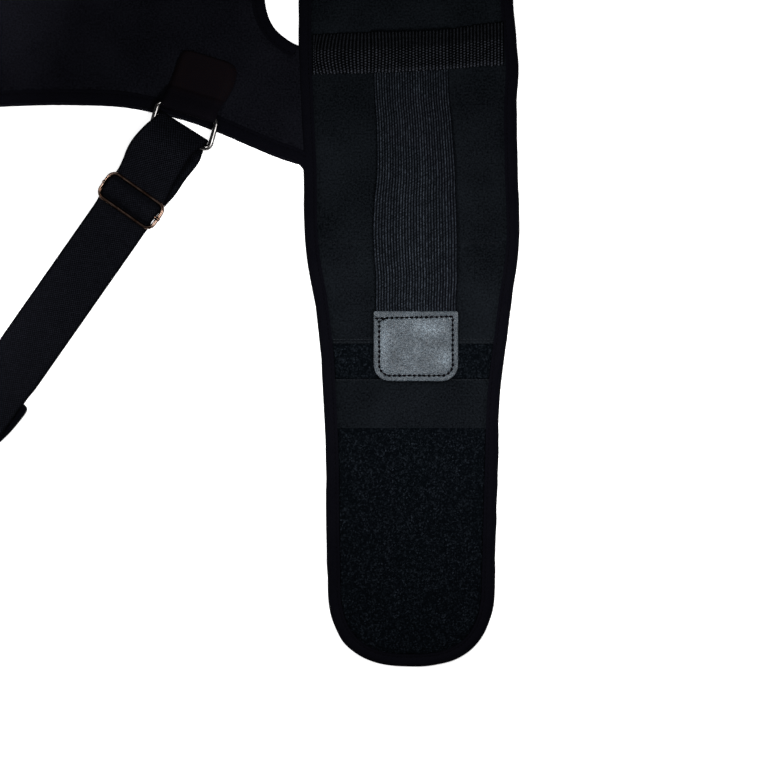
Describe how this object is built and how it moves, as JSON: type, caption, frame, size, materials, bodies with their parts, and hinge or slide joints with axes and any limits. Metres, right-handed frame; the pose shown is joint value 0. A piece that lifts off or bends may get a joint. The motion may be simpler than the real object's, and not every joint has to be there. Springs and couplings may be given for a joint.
{
  "type": "posture corrector",
  "caption": "Back brace lying open: a waist belt with pull straps and pile ends, a back panel, and padded shoulder straps with webbing, rings and sliders.",
  "frame": {"origin": "on the table under the middle of the whole outline", "axes": "+Y along the waist belt towards the wearer's right, +X down the wearer's back, +Z out of the brace's outer face"},
  "size_m": [0.5478, 0.944, 0.0098],
  "materials": {
    "cloth": "matte knit over thin foam",
    "tape": "matte woven edge tape",
    "pile": "brushed loop pile",
    "elastic": "ribbed knitted elastic",
    "webbing": "woven webbing",
    "tab_leather": "satin pebbled leatherette",
    "patch_leather": "matte leatherette",
    "hook": "hook pad",
    "wire": "bright plated wire"
  },
  "bodies": {
    "root": {"belt_back": "cloth", "belt_end_left": "cloth", "belt_end_right": "cloth", "belt_binding": "tape", "loop_field_left": "pile", "loop_field_right": "pile", "tab_strip_left": "pile", "tab_strip_right": "pile", "anchor_band_left": "elastic", "anchor_band_right": "elastic", "pull_strap_left": "elastic", "pull_strap_right": "elastic", "pull_tab_left": "tab_leather", "pull_tab_right": "tab_leather", "back_panel": "cloth", "back_binding_left": "tape", "back_binding_right": "tape", "slot_binding": "tape", "neck_binding": "tape", "ring_patch_left": "patch_leather", "ring_patch_right": "patch_leather", "strap_ring_left": "wire", "strap_ring_right": "wire", "strap_webbing_left": "webbing", "strap_webbing_right": "webbing", "strap_slider_left": "wire", "strap_slider_right": "wire", "shoulder_pad_left": "cloth", "shoulder_pad_right": "cloth", "pad_binding_left": "tape", "pad_binding_right": "tape", "hook_pad_right": "hook"}
  },
  "joints": []
}
